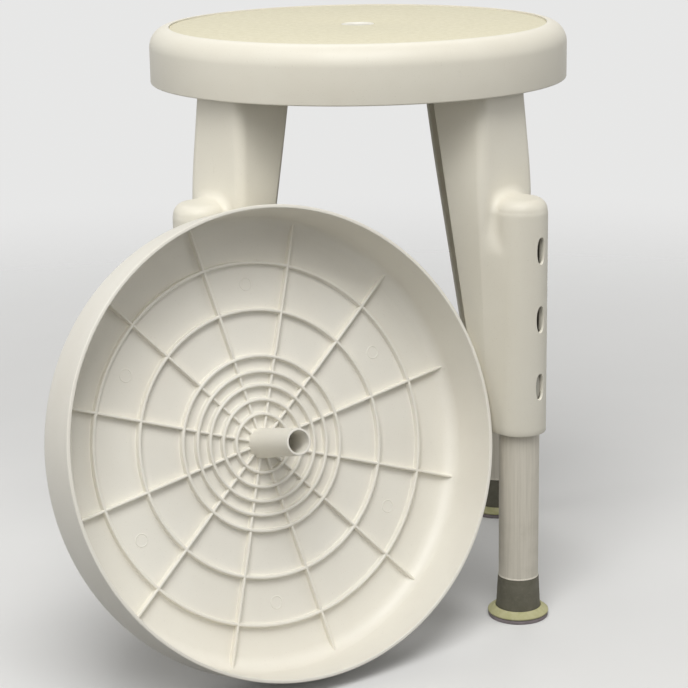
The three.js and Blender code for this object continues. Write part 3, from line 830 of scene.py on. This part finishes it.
def leg_screw():
    """A screw with a round head, a cross recess and a ringed thread."""
    thread = [(2.2 - 0.35 * (k % 2), 465.8 + 0.55 * k) for k in range(24)]
    outline = [
        (0, 462.4),
        (2.6, 462.4, 1),
        (4.4, 463.1, 1),
        (5, 464.4, 0.6),
        (5, 465.2),
        (2.2, 465.2),
        *thread,
        (1.2, 479.8),
        (0, 479.8),
    ]
    screw = make_object("screw", lathe(rounded(outline, False), 32, False))
    section = ((-2.6, -0.5), (2.6, -0.5), (2.6, 0.5), (-2.6, 0.5))
    arm = loft([[(x, y, z) for x, y in section] for z in (461, 463.9)])
    for angle in (0, 90):
        combine(screw, moved(arm, turn(angle)), "DIFFERENCE")
    return screw


# swivel disc, modelled rim down


def disc_shell():
    """The disc turned in one go: spigot, floor with its rings, wall, rim, crown and back."""
    corners = [
        (0, DISC_FLOOR),
        (8.8, DISC_FLOOR, 1),
        (8.8, -11.5, 0.5),
        (10.6, -11.5, 0.7),
        (12.2, DISC_FLOOR, 2),
    ]
    for radius in DISC_RINGS:
        corners += [
            (radius - RING_FOOT, DISC_FLOOR, 0.5),
            (radius - RING_EDGE, RING_PLANE, 1.0),
            (radius + RING_EDGE, RING_PLANE, 1.0),
            (radius + RING_FOOT, DISC_FLOOR, 0.5),
        ]
    corners += [(181.2, DISC_FLOOR, 12), (183, 0, 0.9), (186, 0, 0.9)]
    corners += arc((169.4, 43.4), 16.6, 0, 90, 14)
    corners += [(164, DISC_BACK, 6), (0, DISC_BACK)]
    return lathe(rounded(corners, False, 5), 288, False)


def disc_rib(index):
    """A spoke with a rounded edge, lower among the close rings. It starts in the spigot's
    foot and ends in the wall."""
    section = [
        (-SPOKE_FOOT, SPOKE_ROOT),
        (-SPOKE_FOOT, DISC_FLOOR),
        (-SPOKE_EDGE, SPOKE_PLANE, 0.8),
        (SPOKE_EDGE, SPOKE_PLANE, 0.8),
        (SPOKE_FOOT, DISC_FLOOR),
        (SPOKE_FOOT, SPOKE_ROOT),
    ]
    section = rounded(section, False, 5)
    reaches = np.array([11, 40, 64, 69, 73, 80, 110, 150, 165, 181.6])
    sunk = np.interp(reaches, [0, 66, 76], [1.5, 1.5, 0])
    loops = [
        [(x, y, min(z + low, SPOKE_ROOT)) for y, z in section] for x, low in zip(reaches, sunk)
    ]
    return moved(loft(loops), turn(FIRST_SPOKE + 360 / SPOKES * index))


def pin_mark(index):
    """The faint ring that an ejector pin leaves on the floor."""
    outline = [(4.4, 54.2), (4.5, 53.8, 0.1), (5.0, 53.55, 0.15), (5.5, 53.8, 0.1), (5.6, 54.2)]
    angle = FIRST_PIN_MARK + 360 / PIN_MARKS * index
    return moved(lathe(rounded(outline), 40), turn(angle) @ shift(PIN_MARK_REACH, 0, 0))


def swivel_disc():
    spokes = [disc_rib(index) for index in range(SPOKES)]
    marks = [pin_mark(index) for index in range(PIN_MARKS)]
    return together([disc_shell(), *spokes, *marks])


# assembly

stool_place = Matrix.Translation(STOOL_AXIS)

for name, shape, material, slot in (
    ("seat_moulding", seat_shell(), moulding, "moulding"),
    ("seat_top_panel", seat_panel(), panel, "panel"),
    ("pivot_bush", pivot_bush(), bush_plastic, "bush"),
):
    piece = make_object(f"{name}_finish", shape)
    place(piece, stool_place)
    dress(piece, material, "stool", name)

disc = make_object("swivel_disc_finish", swivel_disc())
place(
    disc,
    Matrix.Translation(DISC_CENTRE)
    @ Matrix.Rotation(DISC_TURN, 4, "Z")
    @ Matrix.Rotation(-math.pi / 2 - DISC_LEAN, 4, "X"),
)
dress(disc, disc_plastic, "swivel_seat", "swivel_disc")

sources = {
    "leg_moulding": (leg_moulding(), moulding, "stool", "moulding"),
    "extension_tube": (extension_tube(), tube_finish, "leg", "tube"),
    "foot_plug": (make_object("plug", foot_plug()), plug_rubber, "leg", "plug"),
    "foot_sole": (make_object("sole", foot_sole()), sole_rubber, "leg", "sole"),
    "lock_button": (make_object("button", lock_button()), button_plastic, "button", "button"),
}
screw_source = leg_screw()
spring_source = make_object("spring", lock_spring())

for side, degrees in LEGS.items():
    leg_place = stool_place @ turn(degrees)
    tube_place = leg_place @ shift(TUBE_REACH, 0, 0)
    for name, (source, material, body, slot) in sources.items():
        piece = copied(source, f"{name}_{side}_finish")
        place(piece, leg_place if name == "leg_moulding" else tube_place)
        body = body if body == "stool" else f"{body}_{side}"
        dress(piece, material, body, f"{name}_{side}")
        if name == "foot_sole":
            piece.data.materials.append(lip_rubber)
            for face in piece.data.polygons:
                if face.center.z < LIP_HEIGHT:
                    face.material_index = 1
    for label, (x, y) in SCREW_PLACES.items():
        piece = copied(screw_source, f"leg_screw_{side}_{label}_finish")
        place(piece, leg_place @ shift(x, y, 0))
        dress(piece, screw_steel, "stool", f"leg_screw_{side}_{label}")
    spring = copied(spring_source, f"lock_spring_{side}_finish")
    place(spring, tube_place)
    dress(spring, spring_steel, None, f"lock_spring_{side}")
    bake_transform(spring)

for source in (*(entry[0] for entry in sources.values()), screw_source, spring_source):
    bpy.data.objects.remove(source)


# floor, lights, camera


def pale_rays(tree):
    """One for the rays that show the pale stage: the camera's, reflected and transmitted."""
    path = tree.nodes.new("ShaderNodeLightPath")
    seen = path.outputs["Is Camera Ray"]
    for kind in ("Is Glossy Ray", "Is Transmission Ray"):
        either = tree.nodes.new("ShaderNodeMath")
        either.operation = "MAXIMUM"
        tree.links.new(seen, either.inputs[0])
        tree.links.new(path.outputs[kind], either.inputs[1])
        seen = either.outputs[0]
    return seen


def floor_material():
    """Pale matt floor that fades into the backdrop far from the part. Diffuse light that
    bounces meets it as a dark grey, as dark flooring under a part is."""
    s = Surface("pale_floor")
    dark, light = to_linear((228, 228, 227)), to_linear((233, 233, 232))
    seen = s.ramp(s.noise(2.5, 5), 0.3, 0.7, dark, light)
    shown = pale_rays(s.tree)
    color = s.mix(shown, (0.12, 0.12, 0.12, 1), seen)
    s.bump(s.noise(180, 3), 0.0004, 0.1)
    s.done(color, s.range(s.noise(6, 3), 0.65, 0.8))
    distance = s.node("ShaderNodeVectorMath", operation="LENGTH")
    s.link(s.coordinates, distance.inputs[0])
    fade = s.node("ShaderNodeMapRange", interpolation_type="SMOOTHSTEP")
    fade.inputs["From Min"].default_value = FLOOR_FADE[0]
    fade.inputs["From Max"].default_value = FLOOR_FADE[1]
    s.link(distance.outputs["Value"], fade.inputs["Value"])
    faded = s.node("ShaderNodeMath", operation="MULTIPLY")
    s.link(fade.outputs["Result"], faded.inputs[0])
    s.link(shown, faded.inputs[1])
    clear = s.node("ShaderNodeBsdfTransparent")
    blend = s.node("ShaderNodeMixShader")
    s.link(faded.outputs[0], blend.inputs[0])
    s.link(s.shader.outputs[0], blend.inputs[1])
    s.link(clear.outputs[0], blend.inputs[2])
    s.link(blend.outputs[0], s.tree.nodes["Material Output"].inputs["Surface"])
    return s.material


floor_mesh = bpy.data.meshes.new("floor")
floor_rim = [(x, y, 0) for x, y in arc((0, 0), FLOOR_RADIUS, 0, 360, 96)[:-1]]
floor_mesh.from_pydata(floor_rim, [], [tuple(range(len(floor_rim)))])
floor = bpy.data.objects.new("floor", floor_mesh)
scene.collection.objects.link(floor)
floor_mesh.materials.append(floor_material())


def area_light(name, location, size, power):
    """A soft rectangular light that faces the part."""
    lamp = bpy.data.lights.new(name, "AREA")
    lamp.shape = "RECTANGLE"
    lamp.size, lamp.size_y = size
    lamp.energy = power
    lamp.color = LIGHT_COLOR
    obj = bpy.data.objects.new(name, lamp)
    obj.location = location
    direction = LIGHT_TARGET - Vector(location)
    obj.rotation_euler = direction.to_track_quat("-Z", "Y").to_euler()
    scene.collection.objects.link(obj)


for name, settings in LIGHTS.items():
    area_light(name, *settings)

world = bpy.data.worlds.new("studio")
scene.world = world
world.use_nodes = True
nodes, links = world.node_tree.nodes, world.node_tree.links
nodes.clear()
output = nodes.new("ShaderNodeOutputWorld")
shown = nodes.new("ShaderNodeMixShader")
links.new(pale_rays(world.node_tree), shown.inputs[0])
for socket, (color, strength) in ((1, WORLD_LIGHT), (2, BACKDROP)):
    background = nodes.new("ShaderNodeBackground")
    background.inputs["Color"].default_value = color
    background.inputs["Strength"].default_value = strength
    links.new(background.outputs[0], shown.inputs[socket])
links.new(shown.outputs[0], output.inputs["Surface"])

level = math.cos(PITCH)
forward = Vector((math.sin(YAW) * level, math.cos(YAW) * level, -math.sin(PITCH)))
right = Vector((math.cos(YAW), -math.sin(YAW), 0))
up = right.cross(forward)
camera_x = right * math.cos(ROLL) + up * math.sin(ROLL)
camera_y = up * math.cos(ROLL) - right * math.sin(ROLL)
camera_data = bpy.data.cameras.new("camera")
camera_data.sensor_width = SENSOR
camera_data.lens = FOCAL_PIXELS / PHOTO_SIZE * SENSOR
camera_data.clip_end = 50
camera = bpy.data.objects.new("camera", camera_data)
scene.collection.objects.link(camera)
turned = Matrix((camera_x, camera_y, -forward)).transposed().to_4x4()
camera.matrix_world = Matrix.Translation(CAMERA_PLACE * MM) @ turned
scene.camera = camera
scene.view_settings.view_transform = "Standard"
